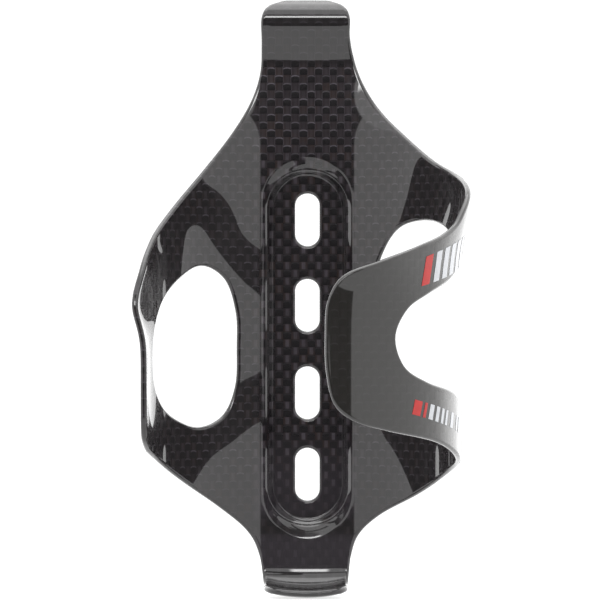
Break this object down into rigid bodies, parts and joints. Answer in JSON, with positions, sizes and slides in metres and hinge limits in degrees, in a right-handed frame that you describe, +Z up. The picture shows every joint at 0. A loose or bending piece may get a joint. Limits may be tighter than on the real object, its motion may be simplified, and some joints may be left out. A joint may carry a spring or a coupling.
{
  "type": "water bottle cage",
  "caption": "Side-entry carbon bottle cage: slotted back plate with two wings, and an open arm that wraps round the bottle and flexes outwards to let it in.",
  "frame": {"origin": "centre of the mounting pad's back face, midway between the outermost bolt slots", "axes": "+Z up the bottle, +Y towards the bicycle frame, +X towards the wrap arm's side"},
  "size_m": [0.0817, 0.0809, 0.1491],
  "materials": {
    "carbon": "plain-weave carbon laminate under clear gloss resin",
    "white_film": "white printed film",
    "red_film": "red printed film"
  },
  "bodies": {
    "cage": {"mounting_pad": "carbon", "recess_wall": "carbon", "back_plate": "carbon", "upper_neck": "carbon", "top_tab": "carbon", "bottom_shelf": "carbon", "left_wing_upper": "carbon", "left_wing_lower": "carbon", "left_entry_rim": "carbon", "right_wing_upper": "carbon", "right_wing_lower": "carbon"},
    "wrap_arm": {"upper_strap": "carbon", "lower_strap": "carbon", "front_panel": "carbon", "upper_strap_decal": "white_film", "lower_strap_decal": "red_film"}
  },
  "joints": [
    {"name": "arm_flex", "type": "hinge", "parent": "cage", "child": "wrap_arm", "pos_m": [0.0396, -0.0418, 0.006], "axis": [0, 0, 1], "range_deg": [0, 8], "stiffness_Nm_per_rad": 4}
  ]
}
